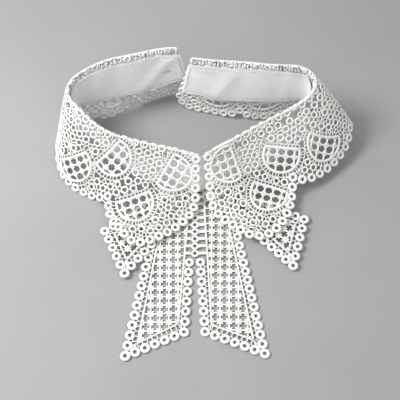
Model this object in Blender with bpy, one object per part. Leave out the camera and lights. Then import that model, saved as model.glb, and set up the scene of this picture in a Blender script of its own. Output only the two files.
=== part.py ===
# Detachable collar: a cotton neckband, two guipure lace leaves that turn over its top edge,
# and a flat lace bow of two wings and two tails sewn under its front.
# Measures are in millimetres up to the last step of each piece.
import bpy
import bmesh
import numpy as np
from math import ceil, cos, pi, radians, sin
from mathutils import Vector
from mathutils.geometry import delaunay_2d_cdt

MM = 0.001
LACE_WALL = 1.2          # thickness of the embroidered lace
BAND_WALL = 1.0          # doubled cotton of the neckband
GAP = 0.3                # air between two pieces that are sewn together
RING_PITCH = 6.0         # centre to centre of the rings along every lace edge
RING_REACH = 3.15        # from a ring's centre to the outer edge of the lace
TURN_RADIUS = 0.9        # turn of the lace over the band, at mid wall
BAND_HEIGHT = 27.0       # height of the neckband behind the neck
BAND_DROP = 3.0          # the lace stands this far above the neckband
LEG_DEPTH = 9.0          # lace sewn down behind the neckband
BAND_EASE = 0.20         # further air where the band bends round the corners
BAND_LAP = 1.0           # the band's left end runs on past the lace
BAND_SLANT = 4.0         # both ends of the band run further at the foot than at the top
END_RISE = 4.0           # the foot of the band rises by this much at its ends
END_RUN = 25.0           # over this distance
NECK_CLEAR = 6.6         # least distance from the neck line down to the foot of the band
LEAF_START = 0.5         # each leaf begins this far from the centre front
BOW_TOP = 3.6            # height at which the front of the leaf settles on the bow, at mid wall
SURFACE_TOP = 0.6        # the same where it settles on the ground
REST_SOFT = 0.8          # softness of that settling
MESH_STEP = 4.2          # spacing of the wall's inner points
MIDDLE = (2.65, -11.2)   # middle of the whole in plan, which is moved to the origin

# One row per section of the neck line, from the left end at the back to the right end:
# x, y, z of the fold; lean of the leaf over one millimetre of fall (x, y); rise of that lean;
# inward lean of the band per millimetre down.
NECK = np.array([
    ( -13.0,  78.2, 51.0, -0.04,  0.05,  0.00,  0.08),
    ( -23.1,  77.6, 50.8, -0.02,  0.01,  0.10,  0.12),
    ( -41.8,  73.5, 50.0, -0.03, -0.09,  0.20,  0.13),
    ( -54.3,  71.1, 49.0, -0.06, -0.22,  0.20,  0.14),
    ( -71.5,  63.7, 46.5, -0.13, -0.09,  0.00,  0.01),
    ( -78.3,  58.2, 44.5, -0.20, -0.06, -0.20, -0.10),
    ( -80.5,  50.6, 42.3, -0.23, -0.15, -0.30, -0.08),
    ( -75.2,  43.1, 40.0, -0.32, -0.36, -0.30,  0.00),
    ( -65.7,  33.8, 37.2, -0.29, -0.52, -0.15,  0.05),
    ( -56.4,  28.1, 34.6, -0.24, -0.61,  0.05,  0.00),
    ( -44.2,  24.7, 32.0, -0.16, -0.83,  0.25, -0.25),
    ( -28.8,  21.7, 30.0, -0.15, -0.86,  0.35, -0.50),
    ( -14.5,  18.6, 28.8, -0.15, -0.87,  0.35, -0.55),
    (   1.2,  16.2, 28.0,  0.03, -0.79,  0.30, -0.55),
    (  11.8,  20.9, 29.0,  0.15, -0.87,  0.33, -0.55),
    (  24.9,  28.0, 31.0,  0.19, -0.85,  0.35, -0.55),
    (  35.9,  34.1, 33.0,  0.24, -0.81,  0.35, -0.55),
    (  48.3,  39.5, 36.0,  0.27, -0.76,  0.20, -0.50),
    (  62.2,  46.5, 39.5,  0.33, -0.65,  0.10, -0.35),
    (  68.1,  51.4, 41.8,  0.44, -0.52,  0.00, -0.15),
    (  70.3,  56.5, 44.5,  0.53, -0.39, -0.10, -0.05),
    (  67.9,  62.2, 47.0,  0.58, -0.25, -0.15, -0.08),
    (  62.2,  65.3, 48.3,  0.48, -0.07, -0.20, -0.02),
    (  46.9,  66.2, 49.3,  0.28, -0.06,  0.00,  0.07),
    (  33.4,  67.3, 49.7,  0.06, -0.18,  0.45,  0.13),
    (  10.1,  69.1, 50.0,  0.00, -0.14,  0.35,  0.14),
    (  -6.4,  70.9, 50.1, -0.06, -0.06,  0.10,  0.14)])
FRONT_ROW = 13           # the row at the centre front

# Scallops of a leaf's outer edge, left half then right half, one row each: distance from the
# centre front at which it starts, its depth there, its depth at the middle.
SCALLOPS = {-1: ((52.0, 38.5, 45.3), (87.5, 38.5, 43.5), (114.5, 41.0, 46.5), (142.0, 42.5, 47.2)),
            1: ((52.0, 40.0, 46.5), (85.5, 42.0, 47.5), (109.5, 43.0, 47.5), (133.5, 42.5, 47.2))}
LEAF_END = {-1: 168.5, 1: 162.5}
LEAF_SLANT = {-1: 4.0, 1: 7.0}           # the end runs this much further at its foot
FRONT_DEPTH = {-1: 63.5, 1: 67.0}

# Fans of a leaf, left half then right half, one row each: distance from the centre front and
# depth of the middle of the fan's straight side, its turn in degrees towards the centre front.
FANS = {-1: ((20.5, 13.5, 67), (38.0, 35.0, 29), (55.5, 12.5, 56), (74.5, 28.5, 42),
             (101.0, 22.0, 10), (128.0, 25.0, 0), (154.5, 26.0, 0)),
        1: ((20.5, 14.0, 78), (38.0, 39.5, 31), (50.5, 20.5, 20), (74.0, 28.0, 35),
            (97.5, 26.0, 5), (121.5, 26.0, 0), (148.0, 26.0, 0))}
CELL_PITCH = 5.3         # square net: cord to cord
CELL_GAP = 4.3           # open square between the cords
NET_INSET = 5.3          # from the ring row's centre line to the outermost open corner


def spline(stations, rows, at):
    """Natural cubic through the rows: second differences solved from the stations."""
    at = np.atleast_1d(np.asarray(at, float))
    count, step = len(stations), np.diff(stations)
    system, load = np.eye(count), np.zeros((count, rows.shape[1]))
    for i in range(1, count - 1):
        system[i, i - 1:i + 2] = step[i - 1], 2 * (step[i - 1] + step[i]), step[i]
        load[i] = 6 * ((rows[i + 1] - rows[i]) / step[i] - (rows[i] - rows[i - 1]) / step[i - 1])
    bend = np.linalg.solve(system, load)
    k = np.clip(np.searchsorted(stations, at, side="right") - 1, 0, count - 2)
    inside = np.clip(at, stations[0], stations[-1])
    t, h = (inside - stations[k])[:, None], step[k][:, None]
    value = (bend[k] * (h - t) ** 3 + bend[k + 1] * t ** 3) / (6 * h)
    value += (rows[k] / h - bend[k] * h / 6) * (h - t) + (rows[k + 1] / h - bend[k + 1] * h / 6) * t
    ends = np.where(at < stations[0], 0, count - 1)
    slope = (rows[ends] - rows[np.where(ends == 0, 1, count - 2)])
    slope /= (stations[ends] - stations[np.where(ends == 0, 1, count - 2)])[:, None]
    return value + slope * (at - inside)[:, None]


NECK_AT = np.concatenate([[0.0], np.cumsum(np.linalg.norm(np.diff(NECK[:, :3], axis=0), axis=1))])
NECK_AT -= NECK_AT[FRONT_ROW]


def neck(s):
    """Rows of the neck line at the distances s, and its outward horizontal direction there."""
    s = np.atleast_1d(np.asarray(s, float))
    ahead = spline(NECK_AT, NECK, s + 1.0)[:, :2] - spline(NECK_AT, NECK, s - 1.0)[:, :2]
    ahead /= np.linalg.norm(ahead, axis=1)[:, None]
    return spline(NECK_AT, NECK, s), np.stack([ahead[:, 1], -ahead[:, 0]], 1)


def ease(value, start, end):
    """Smooth step from 0 at the start to 1 at the end."""
    t = np.clip((np.asarray(value, float) - start) / (end - start), 0, 1)
    return t * t * (3 - 2 * t)


def leaf(s, b):
    """Mid wall of the lace: s along the neck, b down the leaf from the top of its turn.
    Negative b goes over the turn and down behind the band. Distances along b are true."""
    s, b = (np.asarray(v, float).ravel() for v in np.broadcast_arrays(s, b))
    row, out = neck(s)
    point = row[:, :3].copy()
    steps = 40
    t = b[:, None] * (np.arange(steps) + 0.5) / steps
    width = (b / steps)[:, None]
    lean = row[:, None, 3:5] * (1 + row[:, None, 5:6] * (t / 30 - 1)[..., None])
    size = np.linalg.norm(lean, axis=2)
    lean *= (np.minimum(size, 0.998) / np.maximum(size, 1e-9))[..., None]
    side = np.minimum(size, 0.998) * np.sign(np.einsum("ijk,ik->ij", lean, out))
    turning = np.abs(t) < TURN_RADIUS * np.where(t < 0, pi / 2, np.arccos(np.clip(side, -1, 1)))
    behind = (t < 0) & ~turning
    turn = np.cos(t / TURN_RADIUS)[..., None] * out[:, None]
    hang = row[:, None, 6:7] * out[:, None] * np.ones_like(turn)
    way = np.where(turning[..., None], turn, np.where(behind[..., None], hang, lean))
    fall = np.where(turning, np.sin(t / TURN_RADIUS), np.sqrt(np.maximum(0, 1 - np.sum(way ** 2, 2))))
    fall = np.where(behind, -fall, fall)
    point[:, :2] += np.sum(way * width[..., None], 1)
    point[:, 2] -= np.sum(fall * width, 1)
    under = BOW_TOP + (SURFACE_TOP - BOW_TOP) * ease(np.abs(s), 50.0, 57.0)
    point[:, 2] = under + REST_SOFT * np.logaddexp(0, (point[:, 2] - under) / REST_SOFT)
    return point


def across(surface, s, b, x, y):
    """Pattern point that lies x along and y down from (s, b), measured on the cloth itself."""
    s, b, x, y = (np.asarray(v, float).ravel() for v in np.broadcast_arrays(s, b, x, y))
    along = (surface(s + 0.5, b) - surface(s - 0.5, b))
    down = (surface(s, b + 0.5) - surface(s, b - 0.5))
    down /= np.linalg.norm(down, axis=1)[:, None]
    tilt = np.sum(along * down, 1)
    true = np.sqrt(np.maximum(np.sum(along ** 2, 1) - tilt ** 2, 0.04))
    return s + x / true, b + y - x * tilt / true


def flat(x, y):
    """A piece that lies level: the pattern is the plan."""
    x, y = (np.asarray(v, float).ravel() for v in np.broadcast_arrays(x, y))
    return np.stack([x, y, np.zeros_like(x)], 1)


def even(surface, path, pitch):
    """Points of the pattern path spaced evenly by their true distance on the cloth."""
    path = np.asarray(path, float)
    fine = np.concatenate([path[:-1] + (path[1:] - path[:-1]) * k / 8 for k in range(8)])
    fine = fine.reshape(8, -1, 2).transpose(1, 0, 2).reshape(-1, 2)
    fine = np.vstack([fine, path[-1]])
    where = surface(fine[:, 0], fine[:, 1])
    run = np.concatenate([[0.0], np.cumsum(np.linalg.norm(np.diff(where, axis=0), axis=1))])
    count = max(1, round(run[-1] / pitch))
    at = np.linspace(0, run[-1], count + 1)
    return np.stack([np.interp(at, run, fine[:, 0]), np.interp(at, run, fine[:, 1])], 1)


def leaf_rings(side):
    """Ring centres around a leaf: up its centre front, round its point, along its scallops,
    up its end at the back. Pattern points are (distance from the centre front, depth)."""
    depth = FRONT_DEPTH[side]
    scallops, end = SCALLOPS[side], LEAF_END[side]
    foot = end + LEAF_SLANT[side]
    knots = np.array([(3.6, 28.0), (5.0, 37.0), (11.0, 48.5), (20.5, depth - 5.0),
                      (31.0, depth), (41.5, depth - 6.5), (48.2, 50.0), scallops[0][:2]])
    run = np.concatenate([[0.0], np.cumsum(np.linalg.norm(np.diff(knots, axis=0), axis=1))])
    legs = [np.array([(3.6, 3.6), (3.6, 28.0)]), spline(run, knots, np.linspace(0, run[-1], 40))]
    t = np.linspace(0, 1, 16)
    for (start, cusp, middle), (finish, after, _) in zip(scallops, scallops[1:]):
        line = cusp + (after - cusp) * t
        legs.append(np.stack([start + (finish - start) * t,
                              line + (middle - line) * np.sin(pi * t) ** 0.7], 1))
    start, cusp, middle = scallops[-1]
    corner = np.stack([foot - 8 + 8 * np.sin(t * pi / 2), middle - 9 + 9 * np.cos(t * pi / 2)], 1)
    legs.append(np.vstack([[(start, cusp), (start + 5, middle - 1.2)], corner]))
    legs.append(np.array([(foot, middle - 9), (end, 3.6)]))
    rings = []
    for leg in legs:
        points = even(lambda a, b: leaf(side * a, b), leg, RING_PITCH)
        rings.append(points if not rings else points[1:])
    return np.vstack(rings)


def bumped(surface, rings, closed):
    """Outer edge of a ring row: a short arc round every ring, meeting its neighbours' arcs.
    The row is walked clockwise round the cloth."""
    count = len(rings)
    centres = surface(rings[:, 0], rings[:, 1])
    edge = []
    for i, (s, b) in enumerate(rings):
        before = rings[i - 1] if closed or i else 2 * rings[0] - rings[1]
        after = rings[(i + 1) % count] if closed or i + 1 < count else 2 * rings[-1] - rings[-2]
        axes = surface(*across(surface, s, b, [1, 0], [0, 1])) - centres[i]
        limits = []
        for other in (before, after):
            step = surface(other[0], other[1])[0] - centres[i]
            meet = np.arccos(min(0.99, np.linalg.norm(step) / 2 / RING_REACH))
            limits.append((np.arctan2(step @ axes[1], step @ axes[0]), meet))
        (first, meet_first), (last, meet_last) = limits
        sweep = (first - last) % (2 * pi)
        spread = np.linspace(first - meet_first, first - sweep + meet_last, 6 if sweep < 4.2 else 8)
        if i + 1 < count or closed:
            spread = spread[:-1]
        s_edge, b_edge = across(surface, s, b, RING_REACH * np.cos(spread),
                                RING_REACH * np.sin(spread))
        edge.append(np.stack([s_edge, b_edge], 1))
    return np.vstack(edge)


def fan_cells(surface, fan):
    """Open cells of a fan, as four-cornered gaps in its slanted square net."""
    a, b, turn = fan
    swing = radians(turn)
    cells = []
    for row in range(3):
        columns = ((-1, 0, 1), (-1, 0, 1), (-0.5, 0.5))[row]
        for column in columns:
            x0, y0 = column * CELL_PITCH, 3.2 + row * CELL_PITCH * 0.93
            corner = np.array([(-1, -1), (1, -1), (1, 1), (-1, 1)]) * CELL_GAP / 2 * (1, 0.93)
            x, y = x0 + corner[:, 0], y0 + corner[:, 1]
            u = x * cos(swing) - y * sin(swing)
            v = x * sin(swing) + y * cos(swing)
            cells.append(np.stack(across(surface, a, b, u, v), 1))
    return cells


def net_cells(edge, at, turn):
    """Open cells of a level piece's square net: at is the centre of one cell, turn the net's
    angle in degrees. Only cells that keep clear of the ring row on every side are open."""
    swing = radians(turn)
    axes = np.array([(cos(swing), sin(swing)), (-sin(swing), cos(swing))])
    corner = np.array([(-1, -1), (1, -1), (1, 1), (-1, 1)]) * CELL_GAP / 2
    cells = []
    for i in range(-20, 21):
        for j in range(-20, 21):
            cell = at + (corner + (i * CELL_PITCH, j * CELL_PITCH)) @ axes
            if inside(cell, edge).all() and len(clear(cell, [edge], NET_INSET)) == 4:
                cells.append(cell)
    return cells


def wall(name, surface, outline, gaps, inner, lift, material):
    """Lace wall: the pattern is cut into triangles, laid on the surface, given thickness
    to both sides along the surface's own direction, and closed round every edge."""
    x, y = outline.T
    if np.sum(x * np.roll(y, -1) - y * np.roll(x, -1)) < 0:
        outline = outline[::-1]
    loops = [outline] + gaps
    points = [Vector(p) for loop in loops for p in loop]
    faces, start = [], 0
    for loop in loops:
        faces.append(list(range(start, start + len(loop))))
        start += len(loop)
    points += [Vector(p) for p in inner]
    found = delaunay_2d_cdt(points, [], faces, 1, 1e-6)
    flat_points = np.array([tuple(p) for p in found[0]])
    triangles = [face for face, source in zip(found[2], found[5]) if list(source) == [0]]
    used = sorted({v for face in triangles for v in face})
    rename = {v: i for i, v in enumerate(used)}
    s, b = flat_points[used].T
    mid = surface(s, b)
    along = surface(s + 0.05, b) - surface(s - 0.05, b)
    down = surface(s, b + 0.05) - surface(s, b - 0.05)
    normal = np.cross(down, along)
    normal /= np.linalg.norm(normal, axis=1)[:, None]
    top, under = mid + normal * LACE_WALL / 2, mid - normal * LACE_WALL / 2
    cloth = bmesh.new()
    upper = [cloth.verts.new(p) for p in (top + (0, 0, lift)) * MM]
    lower = [cloth.verts.new(p) for p in (under + (0, 0, lift)) * MM]
    border = {}
    for face in triangles:
        a, b, c = (rename[v] for v in face)
        cloth.faces.new((upper[a], upper[b], upper[c]))
        cloth.faces.new((lower[c], lower[b], lower[a]))
        for edge in ((a, b), (b, c), (c, a)):
            border[edge] = True
    for a, b in border:
        if (b, a) not in border:
            cloth.faces.new((upper[b], upper[a], lower[a], lower[b]))
    bmesh.ops.recalc_face_normals(cloth, faces=cloth.faces)
    bmesh.ops.triangulate(cloth, faces=[f for f in cloth.faces if len(f.verts) > 3])
    return solid(name, cloth, material)


def solid(name, cloth, material):
    """Mesh object of the finished body, moved so that the whole is centred, with its material."""
    bmesh.ops.translate(cloth, vec=Vector((-MIDDLE[0], -MIDDLE[1], 0)) * MM, verts=cloth.verts)
    mesh = bpy.data.meshes.new(name)
    cloth.to_mesh(mesh)
    cloth.free()
    mesh.materials.append(material)
    made = bpy.data.objects.new(name, mesh)
    bpy.context.scene.collection.objects.link(made)
    return made


def dye(name, colour, roughness):
    """Plain cloth material."""
    made = bpy.data.materials.new(name)
    made.use_nodes = True
    surface = made.node_tree.nodes["Principled BSDF"]
    surface.inputs["Base Color"].default_value = (*colour, 1.0)
    surface.inputs["Roughness"].default_value = roughness
    return made


def inside(points, outline):
    """True for the points within the outline, by counting crossings."""
    x, y = points[:, 0][:, None], points[:, 1][:, None]
    x0, y0 = outline.T
    x1, y1 = np.roll(outline, -1, 0).T
    crossing = ((y0 > y) != (y1 > y)) & (x < (x1 - x0) * (y - y0) / (y1 - y0 + 1e-12) + x0)
    return crossing.sum(1) % 2 == 1


def clear(points, loops, distance):
    """Keep the points that are at least the distance from every loop's points."""
    rim = np.vstack(loops)
    away = np.min(np.linalg.norm(points[:, None] - rim[None], axis=2), axis=1)
    return points[away > distance]


def make_leaf(name, side, material):
    """One half of the lace collar, with the strip that is sewn down behind the band."""
    surface = lambda a, b: leaf(side * np.asarray(a), b)
    rings = leaf_rings(side)
    edge = bumped(surface, rings, False)
    end = LEAF_END[side] + RING_REACH
    edge = edge[(edge[:, 1] > 1.9)]
    rolls = np.array([1.41, 0.94, 0.47, 0.0, -0.47, -0.94, -1.41, -5.0])
    back = np.stack([np.full(8, end - 0.4), rolls], 1)
    front = np.stack([np.full(8, LEAF_START), rolls[::-1]], 1)
    columns = int(ceil((end - LEAF_START) / MESH_STEP))
    across_leg = np.linspace(end - 0.4, LEAF_START, columns + 1)
    leg = np.stack([across_leg, np.full(columns + 1, -LEG_DEPTH)], 1)
    outline = np.vstack([edge, back, leg, front])
    gaps = [cell for fan in FANS[side] for cell in fan_cells(surface, fan)]
    depth = np.concatenate([rolls, [2.6], np.arange(5, 70, 5.0)])
    grid = np.array([(a, b) for a in across_leg[1:-1] for b in depth])
    grid = grid[inside(grid, outline)]
    for cell in gaps:
        grid = grid[~inside(grid, cell)]
    low = grid[:, 1] > 3
    grid = np.vstack([grid[~low], clear(grid[low], [edge] + gaps, 1.8)])
    return wall(name, surface, outline, gaps, grid, 0.0, material)


def make_band(name, material):
    """The neckband: a strip stood just inside the lace, from one back end to the other."""
    first, last = NECK_AT[0] - BAND_LAP, NECK_AT[-1] + 0.5
    along = np.linspace(first, last, 100)
    middle = (first + last) / 2
    rows_along = neck(along)[0]
    height = np.minimum(BAND_HEIGHT / np.hypot(1, rows_along[:, 6]), rows_along[:, 2] - NECK_CLEAR)
    height -= END_RISE * (1 - ease(along, first, first + END_RUN))
    height -= END_RISE * ease(along, last - END_RUN, last)
    share = np.linspace(0, 1, 6)
    inward = TURN_RADIUS + LACE_WALL / 2 + GAP + BAND_EASE + BAND_WALL / 2
    cloth = bmesh.new()
    sheets = []
    for face in (1, -1):
        grid = []
        for t in share:
            row, out = neck(along + BAND_SLANT * t * (along - middle) / (last - middle))
            drop = BAND_DROP + height * t
            shift = inward + row[:, 6] * (drop - TURN_RADIUS) - face * BAND_WALL / 2
            plan = row[:, :2] - out * shift[:, None]
            level = row[:, 2] - drop
            grid.append([cloth.verts.new(Vector((x, y, z)) * MM)
                         for (x, y), z in zip(plan, level)])
        sheets.append(grid)
    rows, columns = len(share), len(along)
    for face, grid in zip((1, -1), sheets):
        for i in range(rows - 1):
            for j in range(columns - 1):
                corners = grid[i][j], grid[i + 1][j], grid[i + 1][j + 1], grid[i][j + 1]
                cloth.faces.new(corners if face == 1 else corners[::-1])
    outer, inner = sheets
    for j in range(columns - 1):
        cloth.faces.new((outer[0][j], outer[0][j + 1], inner[0][j + 1], inner[0][j]))
        cloth.faces.new((outer[-1][j + 1], outer[-1][j], inner[-1][j], inner[-1][j + 1]))
    for i in range(rows - 1):
        cloth.faces.new((outer[i + 1][0], outer[i][0], inner[i][0], inner[i + 1][0]))
        cloth.faces.new((outer[i][-1], outer[i + 1][-1], inner[i + 1][-1], inner[i][-1]))
    bmesh.ops.recalc_face_normals(cloth, faces=cloth.faces)
    return solid(name, cloth, material)


def make_flat(name, corners, level, at, turn, material):
    """A flat piece of the bow. Its corners are ring centres, walked clockwise; every side has
    a ring row but the last, which is a plain cut hidden under the leaf. The open cells of its
    net are set from the centre of one cell and the net's angle."""
    rows = [even(flat, side, RING_PITCH) for side in zip(corners, corners[1:])]
    rings = np.vstack([rows[0]] + [row[1:] for row in rows[1:]])
    edge = bumped(flat, rings, False)
    gaps = net_cells(edge, at, turn)
    low, high = edge.min(0), edge.max(0)
    grid = np.array([(x, y) for x in np.arange(low[0] + 6, high[0], 12)
                     for y in np.arange(low[1] + 6, high[1], 12)])
    grid = clear(grid[inside(grid, edge)], [edge] + gaps, 4.0)
    return wall(name, flat, edge, gaps, grid, level + LACE_WALL / 2, material)


for old in list(bpy.data.objects):
    bpy.data.objects.remove(old)

lace = dye("guipure_lace", (0.86, 0.85, 0.82), 0.75)
cotton = dye("white_cotton", (0.80, 0.80, 0.82), 0.85)
make_band("neckband", cotton)
make_leaf("collar_leaf_left", -1, lace)
make_leaf("collar_leaf_right", 1, lace.copy())
make_flat("bow_tail_left", [(-6.3, 18.5), (-6.3, -46.0), (-9.0, -87.5), (-42.0, -101.8),
                            (-30.8, -40.3), (-23.0, 8.0)], 0.0, (-20.5, -73.5), 1, lace.copy())
make_flat("bow_tail_right", [(17.0, 10.0), (24.8, -38.0), (36.5, -100.3), (3.0, -87.2),
                             (0.3, -46.0), (0.3, 18.5)], 0.0, (14.4, -67.7), -1, lace.copy())
make_flat("bow_wing_left", [(-6.5, -3.0), (-44.4, -51.2), (-57.5, -23.1), (-6.5, 12.5)],
          LACE_WALL + GAP, (-43.5, -31.1), -41, lace.copy())
make_flat("bow_wing_right", [(6.0, 12.0), (63.5, -15.0), (55.2, -46.1), (6.0, 3.0)],
          LACE_WALL + GAP, (50.9, -25.3), -37, lace.copy())
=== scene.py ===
# A detachable collar of white guipure lace, laid on a pale grey surface. A cotton neckband stands
# inside, two lace leaves turn over its top edge, and a flat lace bow lies below the front.
# Sizes are in millimetres; each mesh is brought to metres when it is made.
from math import cos, pi, radians, sin

import bpy
import numpy as np
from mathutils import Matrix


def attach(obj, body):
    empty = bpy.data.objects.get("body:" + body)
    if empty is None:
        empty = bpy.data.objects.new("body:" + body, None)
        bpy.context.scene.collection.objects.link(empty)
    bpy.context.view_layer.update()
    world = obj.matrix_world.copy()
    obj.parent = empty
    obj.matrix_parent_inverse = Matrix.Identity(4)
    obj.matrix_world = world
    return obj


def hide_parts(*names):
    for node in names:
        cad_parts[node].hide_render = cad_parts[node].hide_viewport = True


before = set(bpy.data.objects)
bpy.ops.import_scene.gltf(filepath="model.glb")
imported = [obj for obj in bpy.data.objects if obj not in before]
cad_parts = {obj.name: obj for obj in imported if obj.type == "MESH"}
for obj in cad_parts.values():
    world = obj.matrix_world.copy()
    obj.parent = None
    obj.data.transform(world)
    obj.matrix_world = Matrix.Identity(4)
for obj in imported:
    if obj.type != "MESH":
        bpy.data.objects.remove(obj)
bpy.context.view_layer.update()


# The surface that the collar lies on, and the light. A matt pale grey board runs out of the
# picture on all sides. Most of the light comes evenly from above; a soft lamp stands on the left,
# and a larger, weaker one hangs over the front.
def colour(code):
    """Linear colour of an sRGB hex code: below 0.04045 a share of the level, above it a power."""
    levels = [int(code[i:i + 2], 16) / 255 for i in (1, 3, 5)]
    return (*(c / 12.92 if c <= 0.04045 else ((c + 0.055) / 1.055) ** 2.4 for c in levels), 1.0)


def add(tree, kind, inputs, **settings):
    """New shader node: settings are its properties, inputs its sockets' values or feeding sockets."""
    made = tree.nodes.new(kind)
    for key, value in settings.items():
        setattr(made, key, value)
    for key, value in inputs.items():
        if isinstance(value, bpy.types.NodeSocket):
            tree.links.new(value, made.inputs[key])
        else:
            made.inputs[key].default_value = value
    return made


def blank(name):
    """New node material: its tree and its Principled shader."""
    made = bpy.data.materials.new(name)
    made.use_nodes = True
    return made, made.node_tree, made.node_tree.nodes["Principled BSDF"]


def ramp(tree, factor, stops):
    """Colour ramp through (position, hex code) stops."""
    made = add(tree, "ShaderNodeValToRGB", {"Fac": factor})
    band = made.color_ramp.elements
    while len(band) < len(stops):
        band.new(0.5)
    for element, (position, code) in zip(band, stops):
        element.position = position
        element.color = colour(code)
    return made.outputs["Color"]


def board_grey():
    """Matt grey board: almost even, with a faint mottle."""
    made, tree, shader = blank("board_grey")
    place = add(tree, "ShaderNodeTexCoord", {}).outputs["Object"]
    mottle = add(tree, "ShaderNodeTexNoise", {"Vector": place, "Scale": 9.0, "Detail": 4.0})
    shade = ramp(tree, mottle.outputs["Fac"], [(0.3, "#a4a4a4"), (0.7, "#aaaaa9")])
    tree.links.new(shade, shader.inputs["Base Color"])
    shader.inputs["Roughness"].default_value = 0.75
    shader.inputs["Specular IOR Level"].default_value = 0.25
    return made


board_mesh = bpy.data.meshes.new("board")
board_mesh.from_pydata([(-3, -3, 0), (3, -3, 0), (3, 3, 0), (-3, 3, 0)], [], [(0, 1, 2, 3)])
board_mesh.materials.append(board_grey())
board = bpy.data.objects.new("board", board_mesh)
bpy.context.scene.collection.objects.link(board)


def lamp(name, place, size, power):
    """Square white area light that faces the middle of the collar: its place and size in metres."""
    data = bpy.data.lights.new(name, "AREA")
    data.size = size
    data.energy = power
    made = bpy.data.objects.new(name, data)
    made.location = place
    aim = -np.array(place)
    made.rotation_euler = (np.arctan2(np.hypot(aim[0], aim[1]), -aim[2]), 0,
                           np.arctan2(aim[1], aim[0]) - pi / 2)
    bpy.context.scene.collection.objects.link(made)


lamp("window", (-0.42, 0.00, 0.50), 0.26, 2.35)
lamp("room", (0.05, -0.50, 1.15), 0.90, 1.45)
sky = bpy.data.worlds.new("studio")
sky.use_nodes = True
sky.node_tree.nodes["Background"].inputs["Color"].default_value = colour("#eef0f2")
sky.node_tree.nodes["Background"].inputs["Strength"].default_value = 0.58
bpy.context.scene.world = sky
bpy.context.scene.view_settings.view_transform = "Standard"
bpy.context.scene.view_settings.look = "High Contrast"

MM = 0.001
MIDDLE = np.array([2.65, -11.2, 0.0])    # middle of the collar in plan, which is the frame's origin
CAMERA_DISTANCE = 0.55   # metres to the middle of the picture
CAMERA_RISE = radians(60)
HALF_VIEW = 200 / 887    # half the picture's width over the lens distance, both in pixels
view = bpy.data.cameras.new("camera")
view.sensor_width = 36.0
view.lens = 18.0 / HALF_VIEW
camera = bpy.data.objects.new("camera", view)
camera.location = (-MIDDLE[0] * MM, -MIDDLE[1] * MM - CAMERA_DISTANCE * cos(CAMERA_RISE),
                   CAMERA_DISTANCE * sin(CAMERA_RISE))
camera.rotation_euler = (pi / 2 - CAMERA_RISE, 0, 0)
bpy.context.scene.collection.objects.link(camera)
bpy.context.scene.camera = camera


# Neckband: a strip of plain white cotton, folded double and stitched all round near its edges. It
# is open at the back, where it stands on its edge. In front it is low and leans out under the lace.
BAND_WALL = 0.9
BAND_TOP = 3.0           # the lace stands this far above it at the back
BAND_TOP_FRONT = 4.3     # and this far in front
BAND_HEIGHT = 27.0
BAND_LAP = 1.0           # its left end runs on past the lace, its right end by half as much
BAND_SLANT = 4.0         # both ends run further at the foot than at the top
END_RISE = 4.0           # the foot rises by this much at its ends
END_RUN = 25.0           # over this distance
NECK_CLEAR = 6.6         # least distance from the neck line down to the foot of the band
TURN_RADIUS = 0.9        # turn of the lace over the band
LACE_WALL = 1.2
BAND_AIR = 0.5           # between the lace's inner side and the band
STITCH, STITCH_GAP = 2.0, 0.8
STITCH_INSET = 1.7       # from the band's edge to its stitching
SEAM_SINK, SEAM_HALF = 0.2, 0.4    # depth and half width of the furrow that the stitching pulls

# One row per section of the neck line, from the left end at the back to the right end:
# x, y, z of the lace's fold; lean of the leaf over one millimetre of fall (x, y); rise of that
# lean; inward lean of the band per millimetre down, less than zero where it leans out.
NECK = np.array([
    ( -13.0,  78.2, 51.0, -0.04,  0.05,  0.00,  0.08),
    ( -23.1,  77.6, 50.8, -0.02,  0.01,  0.10,  0.12),
    ( -41.8,  73.5, 50.0, -0.03, -0.09,  0.20,  0.13),
    ( -54.3,  71.1, 49.0, -0.06, -0.22,  0.20,  0.14),
    ( -71.5,  63.7, 46.5, -0.13, -0.09,  0.00,  0.01),
    ( -78.3,  58.2, 44.5, -0.20, -0.06, -0.20, -0.10),
    ( -80.5,  50.6, 42.3, -0.23, -0.15, -0.30, -0.08),
    ( -75.2,  43.1, 40.0, -0.32, -0.36, -0.30,  0.00),
    ( -65.7,  33.8, 37.2, -0.29, -0.52, -0.15,  0.05),
    ( -56.4,  28.1, 34.6, -0.24, -0.61,  0.05,  0.00),
    ( -44.2,  24.7, 32.0, -0.16, -0.83,  0.25, -0.25),
    ( -28.8,  21.7, 30.0, -0.15, -0.86,  0.35, -0.50),
    ( -14.5,  18.6, 28.8, -0.15, -0.87,  0.35, -0.55),
    (   1.2,  16.2, 28.0,  0.03, -0.79,  0.30, -0.55),
    (  11.8,  20.9, 29.0,  0.15, -0.87,  0.33, -0.55),
    (  24.9,  28.0, 31.0,  0.19, -0.85,  0.35, -0.55),
    (  35.9,  34.1, 33.0,  0.24, -0.81,  0.35, -0.55),
    (  48.3,  39.5, 36.0,  0.27, -0.76,  0.20, -0.50),
    (  62.2,  46.5, 39.5,  0.33, -0.65,  0.10, -0.35),
    (  68.1,  51.4, 41.8,  0.44, -0.52,  0.00, -0.15),
    (  70.3,  56.5, 44.5,  0.53, -0.39, -0.10, -0.05),
    (  67.9,  62.2, 47.0,  0.58, -0.25, -0.15, -0.08),
    (  62.2,  65.3, 48.3,  0.48, -0.07, -0.20, -0.02),
    (  46.9,  66.2, 49.3,  0.28, -0.06,  0.00,  0.07),
    (  33.4,  67.3, 49.7,  0.06, -0.18,  0.45,  0.13),
    (  10.1,  69.1, 50.0,  0.00, -0.14,  0.35,  0.14),
    (  -6.4,  70.9, 50.1, -0.06, -0.06,  0.10,  0.14)])
FRONT_ROW = 13           # the row at the centre front


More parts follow.
